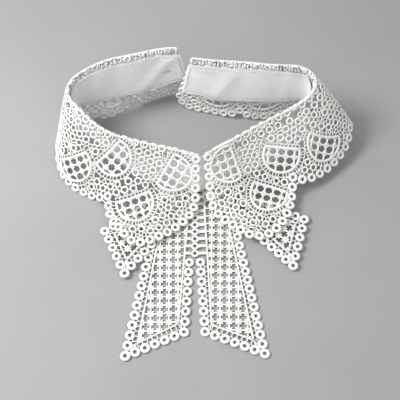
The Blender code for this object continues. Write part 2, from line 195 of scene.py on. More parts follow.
def spline(stations, rows, at):
    """Natural cubic through the rows: second differences solved from the stations."""
    at = np.atleast_1d(np.asarray(at, float))
    count, step = len(stations), np.diff(stations)
    system, load = np.eye(count), np.zeros((count, rows.shape[1]))
    for i in range(1, count - 1):
        system[i, i - 1:i + 2] = step[i - 1], 2 * (step[i - 1] + step[i]), step[i]
        load[i] = 6 * ((rows[i + 1] - rows[i]) / step[i] - (rows[i] - rows[i - 1]) / step[i - 1])
    bend = np.linalg.solve(system, load)
    k = np.clip(np.searchsorted(stations, at, side="right") - 1, 0, count - 2)
    held = np.clip(at, stations[0], stations[-1])
    t, h = (held - stations[k])[:, None], step[k][:, None]
    value = (bend[k] * (h - t) ** 3 + bend[k + 1] * t ** 3) / (6 * h)
    value += (rows[k] / h - bend[k] * h / 6) * (h - t) + (rows[k + 1] / h - bend[k + 1] * h / 6) * t
    ends = np.where(at < stations[0], 0, count - 1)
    inner = np.where(ends == 0, 1, count - 2)
    slope = (rows[ends] - rows[inner]) / (stations[ends] - stations[inner])[:, None]
    return value + slope * (at - held)[:, None]


def ease(value, start, end):
    """Smooth step from 0 at the start to 1 at the end."""
    t = np.clip((np.asarray(value, float) - start) / (end - start), 0, 1)
    return t * t * (3 - 2 * t)


NECK_AT = np.concatenate([[0.0], np.cumsum(np.linalg.norm(np.diff(NECK[:, :3], axis=0), axis=1))])
NECK_AT -= NECK_AT[FRONT_ROW]


def neck(s):
    """Rows of the neck line at the distances s, and its outward horizontal direction there."""
    s = np.atleast_1d(np.asarray(s, float))
    ahead = spline(NECK_AT, NECK, s + 1.0)[:, :2] - spline(NECK_AT, NECK, s - 1.0)[:, :2]
    ahead /= np.linalg.norm(ahead, axis=1)[:, None]
    return spline(NECK_AT, NECK, s), np.stack([ahead[:, 1], -ahead[:, 0]], 1)


def make_piece(name, parts, material):
    """Smooth mesh object from parts of (points in mm, faces, stitch coordinates of each corner)."""
    points, faces, corners, start = [], [], [], 0
    for part_points, part_faces, part_corners in parts:
        points.append(part_points)
        for block in part_faces:
            faces += (block + start).tolist()
        corners += [block.reshape(-1, 2) for block in part_corners]
        start += len(part_points)
    mesh = bpy.data.meshes.new(name)
    mesh.from_pydata(((np.concatenate(points) - MIDDLE) * MM).tolist(), [], faces)
    mesh.uv_layers.new(name="stitch").data.foreach_set("uv", np.concatenate(corners).ravel())
    mesh.shade_smooth()
    mesh.materials.append(material)
    made = bpy.data.objects.new(name, mesh)
    bpy.context.scene.collection.objects.link(made)
    return made


def cloth_area(surface, outline):
    """Area in mm² of the cloth within an outline of pattern points: every square millimetre of the
    pattern counts with the area that it covers on the surface."""
    low, high = np.min(outline, 0), np.max(outline, 0)
    s, b = np.meshgrid(np.arange(low[0] + 0.5, high[0]), np.arange(low[1] + 0.5, high[1]))
    spots = np.stack([s.ravel(), b.ravel()], 1)
    s, b = spots[inside(spots, outline)].T
    along = surface(s + 0.5, b) - surface(s - 0.5, b)
    down = surface(s, b + 0.5) - surface(s, b - 0.5)
    return np.linalg.norm(np.cross(along, down), axis=1).sum()


def inside(points, outline):
    """True for the points within the outline, by counting crossings."""
    outline = np.asarray(outline, float)
    x, y = points[:, 0][:, None], points[:, 1][:, None]
    x0, y0 = outline.T
    x1, y1 = np.roll(outline, -1, 0).T
    crossing = ((y0 > y) != (y1 > y)) & (x < (x1 - x0) * (y - y0) / (y1 - y0 + 1e-12) + x0)
    return crossing.sum(1) % 2 == 1


def worked(surface, cords, sides=8, outward=1):
    """Cords worked on a surface. A cord is (path, half width, half height, lift, closed): pattern
    points, half of its flattened round section each way, height of its middle above the surface,
    and whether it is a loop. Each path point carries an ellipse across the cord, as wide as the
    cord in the surface and as high along its normal, and the ellipses are joined in turn. Stitch
    coordinates are millimetres along and around the cord."""
    counts = np.array([len(cord[0]) for cord in cords])
    flat = np.concatenate([np.asarray(cord[0], float) for cord in cords])
    wide, high, lift = (np.concatenate([np.full(n, 1.0) * cord[k] for n, cord in zip(counts, cords)])
                        for k in (1, 2, 3))
    owner = np.repeat(np.arange(len(cords)), counts)
    first = (np.cumsum(counts) - counts)[owner]
    last = first + counts[owner] - 1
    closed = np.array([cord[4] for cord in cords])[owner]
    index = np.arange(len(flat))
    after = np.where(index < last, index + 1, np.where(closed, first, index))
    before = np.where(index > first, index - 1, np.where(closed, last, index))
    s, b = flat.T
    centre = surface(s, b)
    along = surface(s + 0.3, b) - surface(s - 0.3, b)
    down = surface(s, b + 0.3) - surface(s, b - 0.3)
    normal = outward * np.cross(down, along)
    normal /= np.linalg.norm(normal, axis=1)[:, None]
    tangent = centre[after] - centre[before]
    tangent -= normal * np.sum(tangent * normal, 1)[:, None]
    tangent /= np.linalg.norm(tangent, axis=1)[:, None] + 1e-9
    across_cord = np.cross(normal, tangent)
    turn = 2 * pi * np.arange(sides) / sides
    points = (centre + normal * lift[:, None])[:, None] \
        + (wide[:, None] * np.cos(turn))[..., None] * across_cord[:, None] \
        + (high[:, None] * np.sin(turn))[..., None] * normal[:, None]
    step = np.linalg.norm(centre[after] - centre, axis=1)
    run = np.cumsum(step) - step
    run += 7.3 * owner - run[first]
    here = index[after != index]
    k = np.arange(sides)
    corner = [(here, k), (here, k + 1), (after[here], k + 1), (after[here], k)]
    faces = np.stack([i[:, None] * sides + (j % sides)[None] for i, j in corner], 2).reshape(-1, 4)
    far = run[here] + step[here]
    girth = (pi * (wide + high) / sides)[here]
    stitch = np.stack([np.stack(np.broadcast_arrays(u[:, None], girth[:, None] * j[None]), 2)
                       for u, j in ((run[here], k), (run[here], k + 1), (far, k + 1), (far, k))], 2)
    open_first = np.unique(first[~closed])
    open_last = np.unique(last[~closed])
    caps = np.concatenate([open_first[:, None] * sides + k[::-1], open_last[:, None] * sides + k])
    cap_stitch = np.zeros((len(caps), sides, 2))
    blocks = [faces, caps] if len(caps) else [faces]
    return points.reshape(-1, 3), blocks, [stitch, cap_stitch][:len(blocks)]


BAND_SPAN = (NECK_AT[0] - BAND_LAP, NECK_AT[-1] + BAND_LAP / 2)
# Troughs that the band has taken from lying folded, one row each: distance along the neck,
# distance down at its middle, half width, half length, lean along the neck per mm down, depth.
TROUGHS = np.array([
    (-158.0, 12.0, 5.0, 16.0,  0.9, 0.935),
    (-141.0,  9.0, 7.0, 14.0, -0.5, 0.680),
    (-118.0, 14.0, 6.0, 18.0,  0.3, 0.765),
    ( -84.0, 12.0, 4.0, 14.0,  0.2, 0.595),
    ( -38.0, 10.0, 8.0, 16.0, -0.4, 0.510),
    (  32.0, 10.0, 8.0, 16.0,  0.5, 0.510),
    (  82.0, 13.0, 4.5, 15.0, -0.3, 0.680),
    ( 104.0, 12.0, 5.0, 18.0,  0.2, 0.850),
    ( 122.0, 15.0, 6.0, 14.0, -0.6, 0.765),
    ( 141.0, 10.0, 5.5, 16.0,  0.5, 0.850),
    ( 156.0, 16.0, 5.0, 12.0, -0.8, 0.935)])


def band_top(s):
    """How far the top edge of the band lies below the fold of the lace."""
    return BAND_TOP_FRONT + (BAND_TOP - BAND_TOP_FRONT) * ease(np.abs(s), 60.0, 110.0)


def band(s, drop):
    """Middle of the doubled cotton at the distance s along the neck and drop below its top edge.
    It stands just inside the lace and leans by the neck line's last column; troughs push it
    towards the neck."""
    s, drop = (np.asarray(v, float).ravel() for v in np.broadcast_arrays(s, drop))
    row, out = neck(s)
    fall = band_top(s) + drop
    shift = TURN_RADIUS + LACE_WALL / 2 + BAND_AIR + BAND_WALL / 2 + row[:, 6] * (fall - TURN_RADIUS)
    for at, low, wide, tall, slope, depth in TROUGHS:
        gap = (s - at - slope * (drop - low)) / wide
        shift += depth * np.exp(-gap ** 2 - ((drop - low) / tall) ** 4)
    return np.column_stack([row[:, :2] - out * shift[:, None], row[:, 2] - fall])


def band_height(s):
    """Height of the band at the distance s: full at the back, low in front, less at its ends."""
    start, end = BAND_SPAN
    row = neck(s)[0]
    height = np.minimum(BAND_HEIGHT / np.hypot(1, row[:, 6]),
                        row[:, 2] - NECK_CLEAR + BAND_TOP - band_top(s))
    height -= END_RISE * (1 - ease(s, start, start + END_RUN))
    return height - END_RISE * ease(s, end - END_RUN, end)


def slanted(s, share):
    """Distance along the neck with the slant of the band's ends: share is 0 at the top, 1 at the foot."""
    start, end = BAND_SPAN
    middle = (start + end) / 2
    return s + BAND_SLANT * share * (s - middle) / (end - middle)


def band_cloth():
    """The folded strip as one closed skin: a profile walked down outside, round the foot, up inside
    and round the top, at each place along the neck, closed by the two end folds. It is thinner
    at its top edge and where the stitching draws it in."""
    places, rows = 320, 30
    s = np.linspace(*BAND_SPAN, places)
    t = np.linspace(0, 1, rows)
    fold = np.arange(1, 6) * pi / 6
    share = np.concatenate([t, np.ones(5), t[::-1], np.zeros(5)])
    bulge = np.concatenate([np.zeros(rows), np.sin(fold), np.zeros(rows), -np.sin(fold)])
    face = np.concatenate([np.ones(rows), np.cos(fold), -np.ones(rows), -np.cos(fold)])
    height = band_height(s)
    at = slanted(s[:, None], share[None])
    drop = height[:, None] * share + bulge * BAND_WALL / 2
    middle = band(at, drop)
    along = band(at + 0.5, drop) - band(at - 0.5, drop)
    down = band(at, drop + 0.5) - band(at, drop - 0.5)
    normal = np.cross(down, along)
    normal /= np.linalg.norm(normal, axis=1)[:, None]
    edge = np.minimum(drop, height[:, None] - drop)
    seam = SEAM_SINK * np.exp(-((edge - STITCH_INSET) / SEAM_HALF) ** 2)
    half = (BAND_WALL / 2 * (0.3 + 0.7 * ease(drop, 0.0, 2.0)) - seam) * np.tile(face, (places, 1))
    points = middle + normal * half.ravel()[:, None]
    around = len(share)
    i, k = np.meshgrid(np.arange(places - 1), np.arange(around), indexing="ij")
    j = (k + 1) % around
    faces = np.stack([i * around + k, i * around + j, (i + 1) * around + j, (i + 1) * around + k], 2)
    stitch = np.stack([np.stack([at[a, c], drop[a, c]], 2)
                       for a, c in ((i, k), (i, j), (i + 1, j), (i + 1, k))], 2)
    ends = [np.arange(around)[::-1][None], (np.arange(around) + (places - 1) * around)[None]]
    end_stitch = [np.stack([at[a], drop[a]], 1)[None] for a in (0, places - 1)]
    return points, [faces.reshape(-1, 4)] + ends, [stitch.reshape(-1, 4, 2)] + end_stitch


def running_stitch(line):
    """Stitches along a line of band points on its inner side, short cords that dip at both ends."""
    line = np.asarray(line, float)
    spot = band(line[:, 0], line[:, 1])
    run = np.concatenate([[0.0], np.cumsum(np.linalg.norm(np.diff(spot, axis=0), axis=1))])
    cords = []
    for start in np.arange(0, run[-1] - STITCH, STITCH + STITCH_GAP):
        at = start + STITCH * np.array([0.0, 0.25, 0.5, 0.75, 1.0])
        path = np.stack([np.interp(at, run, line[:, 0]), np.interp(at, run, line[:, 1])], 1)
        lift = BAND_WALL / 2 - 0.12 + np.array([-0.14, 0.05, 0.09, 0.05, -0.14])
        cords.append((path, 0.17, 0.13, lift, False))
    return cords


def cotton():
    """Plain white cotton: a fine even weave, a little hairy, faintly cool against the lace."""
    made, tree, shader = blank("white_cotton_weave")
    at = add(tree, "ShaderNodeUVMap", {}, uv_map="stitch").outputs["UV"]
    # Threads lie 0.36 mm apart. A wave texture's bands are pi / 10 / scale apart.
    thread = 0.36
    warp = add(tree, "ShaderNodeTexWave", {"Vector": at, "Scale": pi / 10 / thread,
                                           "Distortion": 0.5, "Detail": 1.0},
               bands_direction="X")
    weft = add(tree, "ShaderNodeTexWave", {"Vector": at, "Scale": pi / 10 / thread,
                                           "Distortion": 0.5, "Detail": 1.0},
               bands_direction="Y")
    weave = add(tree, "ShaderNodeMath", {0: warp.outputs["Fac"], 1: weft.outputs["Fac"]},
                operation="MULTIPLY").outputs[0]
    slub = add(tree, "ShaderNodeTexNoise", {"Vector": at, "Scale": 0.22, "Detail": 3.0}).outputs["Fac"]
    height = add(tree, "ShaderNodeMath", {0: slub, 1: 2.0, 2: weave},
                 operation="MULTIPLY_ADD").outputs[0]
    bump = add(tree, "ShaderNodeBump", {"Height": height, "Strength": 0.5, "Distance": 0.0001})
    shade = ramp(tree, slub, [(0.25, "#faf9fa"), (0.75, "#fefdfe")])
    tree.links.new(shade, shader.inputs["Base Color"])
    tree.links.new(bump.outputs["Normal"], shader.inputs["Normal"])
    shader.inputs["Roughness"].default_value = 0.85
    shader.inputs["Sheen Weight"].default_value = 0.25
    shader.inputs["Sheen Roughness"].default_value = 0.5
    shader.inputs["Subsurface Weight"].default_value = 0.8
    shader.inputs["Subsurface Radius"].default_value = (1.0, 0.98, 0.97)
    shader.inputs["Subsurface Scale"].default_value = 0.003
    return made


span = np.linspace(BAND_SPAN[0] + 2.2, BAND_SPAN[1] - 2.2, 500)
seams = [np.stack([slanted(span, 0.05), np.full(500, STITCH_INSET)], 1),
         np.stack([slanted(span, 0.94), band_height(span) - STITCH_INSET], 1)]
for end, inset in zip(BAND_SPAN, (1.9, -1.9)):
    share = np.linspace(0.08, 0.92, 60)
    seams.append(np.stack([slanted(end + inset, share), band_height(end) * share], 1))
stitches = [cord for line in seams for cord in running_stitch(line)]
# A bar of five tacking stitches where a fastening was once sewn, near the left end.
for x, y, rise in ((-165.0, 13.2, 1.6), (-163.6, 13.0, -1.5), (-162.0, 13.4, 1.7),
                   (-160.6, 13.1, -1.4), (-163.2, 15.4, 0.3)):
    tack = np.array([(x - 0.9, y - rise / 2), (x, y), (x + 0.9, y + rise / 2)])
    stitches.append((tack, 0.17, 0.14, BAND_WALL / 2 + 0.05, False))
neckband = make_piece("neckband_cotton", [band_cloth(), worked(band, stitches, 6, -1)], cotton())
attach(neckband, "root")
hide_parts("neckband")
band_side = np.stack([np.linspace(*BAND_SPAN, 60), band_height(np.linspace(*BAND_SPAN, 60))], 1)
band_outline = np.vstack([[(BAND_SPAN[1], 0.0), (BAND_SPAN[0], 0.0)], band_side])
cloth_area(band, band_outline) * MM ** 2


# Collar leaves: guipure lace, rows of rings and net fans in thick satin stitch with no ground
# cloth. Each half is sewn behind the band, turns over its top edge and hangs down outside.
LACE_LEG = 9.0           # sewn down behind the band
HEM_INSET = 0.6          # its hem cord, in from its edge
END_OUT = 1.5            # the cords run on past the last ring at the back
RING_PITCH = 6.0         # rings along every edge
EDGE_RING = 2.95         # outer radius of those rings
EDGE_STITCH = 2.0        # width of the stitching round their holes
FIELD_RING = 2.5         # outer radius of the smaller ones between the fans
LEAST_RING = 1.15        # of the smallest ones that fill what is left
BOW_TOP = 3.6            # height of the lace's middle where it settles on the bow
SURFACE_TOP = 0.6        # and where it settles on the surface
REST_SOFT = 0.8          # how softly it settles
# Scallops, one row each: distance from the centre front at which it starts, depth there, and
# depth at its middle. The left leaf has -1 and the right leaf 1, here and below.
SCALLOPS = {-1: ((52.0, 38.5, 45.3), (87.5, 38.5, 43.5), (114.5, 41.0, 46.5), (142.0, 42.5, 47.2)),
            1: ((52.0, 40.0, 46.5), (85.5, 42.0, 47.5), (109.5, 43.0, 47.5), (133.5, 42.5, 47.2))}
LEAF_END = {-1: 168.5, 1: 162.5}    # distance along the neck to the last ring at the back
LEAF_SLANT = {-1: 4.0, 1: 7.0}      # the end runs further at the foot
FRONT_DEPTH = {-1: 63.5, 1: 67.0}   # of the point in front
# Fans, one row each: distance from the centre front and depth of the middle of the fan's
# straight side, its turn in degrees towards the centre front.
FANS = {-1: ((20.5, 13.5, 67), (38.0, 35.0, 29), (55.5, 12.5, 56), (74.5, 28.5, 42),
             (101.0, 22.0, 10), (128.0, 25.0, 0), (154.5, 26.0, 0)),
        1: ((20.5, 14.0, 78), (38.0, 39.5, 31), (50.5, 20.5, 20), (74.0, 28.0, 35),
            (97.5, 26.0, 5), (121.5, 26.0, 0), (148.0, 26.0, 0))}
FAN_HALF, FAN_DEPTH = 10.5, 15.3
FAN_RADIUS = (FAN_HALF ** 2 + FAN_DEPTH ** 2) / 2 / FAN_DEPTH
FAN_CENTRE = FAN_DEPTH - FAN_RADIUS      # the arc's centre, below the straight side
LADDER = 3.0             # bars that stand on the fan's arc
LADDER_PITCH = 2.0
SIDE_LADDER = 2.4        # shorter ones along its straight side
CELL = 5.3               # net cords, centre to centre
# Plain cords: half width, half height, lift of the middle, and False, as they are no loops.
FAN_CORD = (0.92, 0.7, 0.05, False)      # round a fan
NET_CORD = (0.62, 0.58, 0.0, False)      # across it
RIM_CORD = (0.4, 0.45, 0.0, False)       # along a ladder's far side
CREASE_CORD = (0.6, 0.6, 0.0, False)     # along the turn over the band, and down the back end
HEM_CORD = (0.55, 0.5, 0.0, False)       # behind the band
# Bars that link the rings: farthest centres, widest gap, lap on a ring's stitching, half width.
LINK_FAR, LINK_GAP, LINK_LAP, LINK_HALF = 8.6, 3.2, 0.6, 0.52
chance = np.random.default_rng(12)


def leaf(s, b):
    """Middle of the lace: s along the neck, b down the leaf from the top of its turn. Negative b
    goes over the turn and down behind the band. The way down is summed in even steps, first along
    a quarter circle and then along the lean, so distances along b are true. Low down the lace
    settles softly on what it lies on."""
    s, b = (np.asarray(v, float).ravel() for v in np.broadcast_arrays(s, b))
    row, out = neck(s)
    point = row[:, :3].copy()
    steps = 40
    t = b[:, None] * (np.arange(steps) + 0.5) / steps
    width = (b / steps)[:, None]
    lean = row[:, None, 3:5] * (1 + row[:, None, 5:6] * (t / 30 - 1)[..., None])
    size = np.linalg.norm(lean, axis=2)
    lean *= (np.minimum(size, 0.998) / np.maximum(size, 1e-9))[..., None]
    side = np.minimum(size, 0.998) * np.sign(np.einsum("ijk,ik->ij", lean, out))
    turning = np.abs(t) < TURN_RADIUS * np.where(t < 0, pi / 2, np.arccos(np.clip(side, -1, 1)))
    behind = (t < 0) & ~turning
    turn = np.cos(t / TURN_RADIUS)[..., None] * out[:, None]
    hang = row[:, None, 6:7] * out[:, None] * np.ones_like(turn)
    way = np.where(turning[..., None], turn, np.where(behind[..., None], hang, lean))
    fall = np.where(turning, np.sin(t / TURN_RADIUS), np.sqrt(np.maximum(0, 1 - np.sum(way ** 2, 2))))
    fall = np.where(behind, -fall, fall)
    point[:, :2] += np.sum(way * width[..., None], 1)
    point[:, 2] -= np.sum(fall * width, 1)
    under = BOW_TOP + (SURFACE_TOP - BOW_TOP) * ease(np.abs(s), 50.0, 57.0)
    point[:, 2] = under + REST_SOFT * np.logaddexp(0, (point[:, 2] - under) / REST_SOFT)
    return point


def placed(surface, centres, offsets):
    """Pattern points that lie at the offsets (x along, y down, in mm of cloth) from the centres.
    The result has a row of points for each centre."""
    centres = np.atleast_2d(np.asarray(centres, float))
    offsets = np.asarray(offsets, float)
    s, b = centres.T
    along = surface(s + 0.5, b) - surface(s - 0.5, b)
    down = surface(s, b + 0.5) - surface(s, b - 0.5)
    down /= np.linalg.norm(down, axis=1)[:, None]
    tilt = np.sum(along * down, 1)[:, None]
    true = np.sqrt(np.maximum(np.sum(along ** 2, 1)[:, None] - tilt ** 2, 0.04))
    x, y = np.broadcast_to(offsets, (len(centres),) + offsets.shape[-2:]).transpose(2, 0, 1)
    return np.stack([s[:, None] + x / true, b[:, None] + y - x * tilt / true], 2)


def even(surface, path, pitch):
    """Points of the pattern path spaced evenly by their true distance on the cloth."""
    path = np.asarray(path, float)
    part = np.arange(8) / 8
    fine = path[:-1, None] + (path[1:] - path[:-1])[:, None] * part[:, None]
    fine = np.vstack([fine.reshape(-1, 2), path[-1]])
    spot = surface(fine[:, 0], fine[:, 1])
    run = np.concatenate([[0.0], np.cumsum(np.linalg.norm(np.diff(spot, axis=0), axis=1))])
    at = np.linspace(0, run[-1], max(1, round(run[-1] / pitch)) + 1)
    return np.stack([np.interp(at, run, fine[:, 0]), np.interp(at, run, fine[:, 1])], 1)


def leaf_rings(side, surface):
    """Ring centres round a leaf: down its centre front, round its point, along its scallops,
    up its end at the back. Pattern points are (distance from the centre front, depth)."""
    depth, scallops, end = FRONT_DEPTH[side], SCALLOPS[side], LEAF_END[side]
    foot = end + LEAF_SLANT[side]
    knots = np.array([(3.6, 28.0), (5.0, 37.0), (11.0, 48.5), (20.5, depth - 5.0),
                      (31.0, depth), (41.5, depth - 6.5), (48.2, 50.0), scallops[0][:2]])
    run = np.concatenate([[0.0], np.cumsum(np.linalg.norm(np.diff(knots, axis=0), axis=1))])
    legs = [np.array([(3.6, 3.6), (3.6, 28.0)]), spline(run, knots, np.linspace(0, run[-1], 40))]
    t = np.linspace(0, 1, 16)
    for (start, cusp, middle), (finish, after, _) in zip(scallops, scallops[1:]):
        line = cusp + (after - cusp) * t
        legs.append(np.stack([start + (finish - start) * t,
                              line + (middle - line) * np.sin(pi * t) ** 0.7], 1))
    start, cusp, middle = scallops[-1]
    corner = np.stack([foot - 8 + 8 * np.sin(t * pi / 2), middle - 9 + 9 * np.cos(t * pi / 2)], 1)
    legs.append(np.vstack([[(start, cusp), (start + 5, middle - 1.2)], corner]))
    legs.append(np.array([(foot, middle - 9), (end, 3.6)]))
    rings = []
    for leg in legs:
        points = even(surface, leg, RING_PITCH)
        rings.append(points if not rings else points[1:])
    return np.vstack(rings)


def ring_cords(surface, centres, reach, wall, steps=24):
    """Worked rings: reach is the outer radius, wall the width of the stitching round the hole, one
    value or one for each ring. Each is an ellipse, nearly round, that chance stretches and turns."""
    turn = 2 * pi * np.arange(steps) / steps
    count = len(centres)
    reach, wall = np.broadcast_to(reach, count), np.broadcast_to(wall, count)
    size = (reach - wall / 2)[:, None] * (1 + 0.03 * chance.standard_normal((count, 2)))
    skew = chance.uniform(0, pi, count)[:, None]
    x = size[:, :1] * np.cos(turn - skew)
    y = size[:, 1:] * np.sin(turn - skew)
    offsets = np.stack([x * np.cos(skew) - y * np.sin(skew), x * np.sin(skew) + y * np.cos(skew)], 2)
    paths = placed(surface, centres, offsets)
    heights = np.minimum(0.68, 0.52 * wall) * (1 + 0.08 * chance.standard_normal(count))
    return [(path, half, height, 0.0, True) for path, half, height in zip(paths, wall / 2, heights)]


def bar(start, end, half, steps=4, high=None):
    """Straight bar of thread between two pattern points, narrowed in the middle by a sine."""
    t = np.linspace(0, 1, steps)[:, None]
    waist = half * (1 - 0.18 * np.sin(pi * t[:, 0]))
    return (np.asarray(start) + (np.asarray(end) - start) * t, waist, high or half * 1.05, 0.0, False)


def picot(surface, centre, corner, reach, size=1.0):
    """Small knot of thread that stands off a net crossing into the corner of a cell."""
    path = placed(surface, centre, corner + size * np.outer((0.4, 0.8, 1.15, 1.5, 1.78), reach))[0]
    return (path, size * np.array([0.3, 0.42, 0.66, 0.56, 0.15]),
            size * np.array([0.3, 0.4, 0.55, 0.46, 0.12]), 0.0, False)


def turned(points, degrees):
    """Points turned in the pattern plane."""
    swing = radians(degrees)
    return np.asarray(points, float) @ np.array([(cos(swing), sin(swing)), (-sin(swing), cos(swing))])


def fan_shape(x, y):
    """How far a point lies outside the fan: past its arc, and above its straight side."""
    return np.hypot(x, y - FAN_CENTRE) - FAN_RADIUS, -y


def ladder(inner, outer, rim, kept):
    """Bars from the inner to the outer points, and a thin cord along the rim, where kept."""
    cords = [bar(start, end, 0.42) for start, end in zip(inner, outer) if kept(np.array([end]))[0]]
    shown = kept(rim)
    for run in np.split(np.arange(len(rim)), np.flatnonzero(~shown)):
        run = run[shown[run]]
        if len(run) > 3:
            cords.append((rim[run], *RIM_CORD))
    return cords, rim[shown]


def fan_cords(surface, fan, others, within):
    """A fan: a thick straight cord, a thick arc, a slanted square net between them with a picot
    in each corner of its cells, and a ladder of short bars outside both.
    Bars that would run into another fan or past the leaf are left out."""
    centre, degrees = fan[:2], fan[2]
    low = np.arctan2(-FAN_CENTRE, FAN_HALF)

    def lay(points):
        return placed(surface, centre, turned(points, degrees))[0]

    def arc(radius, angle):
        return lay(np.stack([radius * np.cos(angle), FAN_CENTRE + radius * np.sin(angle)], -1))

    def side(x, y):
        return lay(np.stack([x, np.full(len(x), y)], 1))

    def kept(points):
        free = within(points)
        for other in others:
            free &= clear_of_fan(surface, points, other, 0.6)
        return free

    straight = side(np.linspace(-FAN_HALF, FAN_HALF, 22), 0.0)
    round_side = arc(FAN_RADIUS, np.linspace(low, pi - low, 40))
    cords = [(straight, *FAN_CORD), (round_side, *FAN_CORD)]
    columns = np.array([-1.5, -0.5, 0.5, 1.5]) * CELL
    rows = np.array([1.0, 2.0]) * CELL * 0.95
    for x in columns:
        foot = FAN_CENTRE + np.sqrt(FAN_RADIUS ** 2 - x ** 2)
        cords.append((lay(np.stack([np.full(14, x), np.linspace(0, foot, 14)], 1)), *NET_CORD))
    for y in rows:
        half = np.sqrt(FAN_RADIUS ** 2 - (y - FAN_CENTRE) ** 2)
        cords.append((side(np.linspace(-half, half, 18), y), *NET_CORD))
    for x in columns:
        for y in (0.0, *rows):
            for reach in ((1, 1), (-1, 1), (1, -1), (-1, -1)):
                past, above = fan_shape(*(np.array((x, y)) + np.array(reach) * 1.7))
                if past < -0.7 and above < -0.7:
                    knot = turned([(x, y)], degrees)
                    cords.append(picot(surface, centre, knot, turned([reach], degrees)[0], 0.8))
    count = round((FAN_RADIUS + LADDER / 2) * (pi - 2 * low) / LADDER_PITCH)
    at = np.linspace(low, pi - low, count) + 0.02 * chance.standard_normal(count)
    bars, rim = ladder(arc(FAN_RADIUS, at), arc(FAN_RADIUS + LADDER, at),
                       arc(FAN_RADIUS + LADDER, np.linspace(low, pi - low, 60)), kept)
    at = np.linspace(-FAN_HALF, FAN_HALF, 10) + 0.12 * chance.standard_normal(10)
    side_bars, side_rim = ladder(side(at, 0.0), side(at, -SIDE_LADDER),
                                 side(np.linspace(-FAN_HALF, FAN_HALF, 30), -SIDE_LADDER), kept)
    return cords + bars + side_bars, np.vstack([rim[::3], side_rim[::3]])


def fan_place(surface, points, fan):
    """Where pattern points lie in a fan's own measure: x along its straight side, y below it."""
    s, b = np.array(fan[:2], float)
    along = surface(s + 0.5, b)[0] - surface(s - 0.5, b)[0]
    down = surface(s, b + 0.5)[0] - surface(s, b - 0.5)[0]
    down /= np.linalg.norm(down)
    tilt = along @ down
    true = np.sqrt(max(along @ along - tilt ** 2, 0.04))
    x = (points[:, 0] - s) * true
    y = points[:, 1] - b + x * tilt / true
    return turned(np.stack([x, y], 1), -fan[2]).T


def clear_of_fan(surface, points, fan, distance):
    """True for pattern points that are this far past the fan's arc or above its straight side."""
    past, over = fan_shape(*fan_place(surface, points, fan))
    return np.maximum(past, over) > distance


def field_rings(surface, edge, fans, outline):
    """Rings that fill the leaf between its fans, as pattern points and outer radii: a row over the
    fold, then the free place that lies closest to two rings or a fan, over and over, and at last
    the smallest rings in the widest gaps."""
    s, b = np.meshgrid(np.arange(2.5, outline[:, 0].max(), 0.7),
                       np.arange(-6.2, outline[:, 1].max(), 0.7))
    spots = np.stack([s.ravel(), b.ravel()], 1)
    spots = spots[inside(spots, outline)]
    beside = np.full(len(spots), 99.0)
    for fan in fans:
        past, over = fan_shape(*fan_place(surface, spots, fan))
        beside = np.minimum(beside, np.maximum(past - LADDER, over - SIDE_LADDER))
    spots, beside = spots[beside > LEAST_RING], beside[beside > LEAST_RING]
    place = surface(spots[:, 0], spots[:, 1])
    gap = np.linalg.norm(place[:, None] - surface(edge[:, 0], edge[:, 1])[None], axis=2) - EDGE_RING
    near = np.sort(gap, axis=1)[:, :2]
    made, sizes = [], []

    def put(best, size):
        nonlocal near
        made.append(spots[best])
        sizes.append(size)
        away = np.linalg.norm(place - place[best], axis=1) - size
        near = np.sort(np.column_stack([near, away]), axis=1)[:, :2]

    for s in np.arange(8.0, outline[:, 0].max() - 3, 2 * FIELD_RING + 0.5):
        best = np.argmin(np.hypot(spots[:, 0] - s, 3 * (spots[:, 1] - 1.2)))
        if min(near[best, 0], beside[best]) > FIELD_RING:
            put(best, FIELD_RING)
    while True:
        room = np.minimum(near[:, 0], beside)
        free = np.flatnonzero(room > FIELD_RING + 0.25)
        if not len(free):
            break
        cost = near[free].sum(1) + np.minimum(beside[free], FIELD_RING + 2.0)
        put(free[np.argmin(cost)], FIELD_RING)
    while True:
        room = np.minimum(near[:, 0], beside) - 0.2
        best = np.argmax(room)
        if room[best] < LEAST_RING:
            return np.array(made), np.array(sizes)
        put(best, min(room[best], FIELD_RING))


def links(surface, centres, reach, posts):
    """Short bars between neighbouring rings, and from rings to the cords that pass them: a pair is
    joined where no third point lies within the circle that has the pair as its diameter."""
    nodes = np.vstack([centres, posts])
    reach = np.concatenate([reach, np.zeros(len(posts))])
    spot = surface(nodes[:, 0], nodes[:, 1])
    gap = np.linalg.norm(spot[:, None] - spot[None], axis=2)
    bars = []
    for i in range(len(centres)):
        for j in np.flatnonzero(gap[i] < LINK_FAR):
            room = gap[i, j] - reach[i] - reach[j]
            if j <= i or room > LINK_GAP:
                continue
            middle = (spot[i] + spot[j]) / 2
            others = np.linalg.norm(spot - middle, axis=1)
            others[[i, j]] = np.inf
            if others.min() < gap[i, j] / 2 * 0.98:
                continue
            step = nodes[j] - nodes[i]
            start = nodes[i] + step * (reach[i] - LINK_LAP) / gap[i, j]
            end = nodes[j] - step * max(reach[j] - LINK_LAP, 0) / gap[i, j]
            bars.append(bar(start, end, LINK_HALF * chance.uniform(0.85, 1.15)))
    return bars


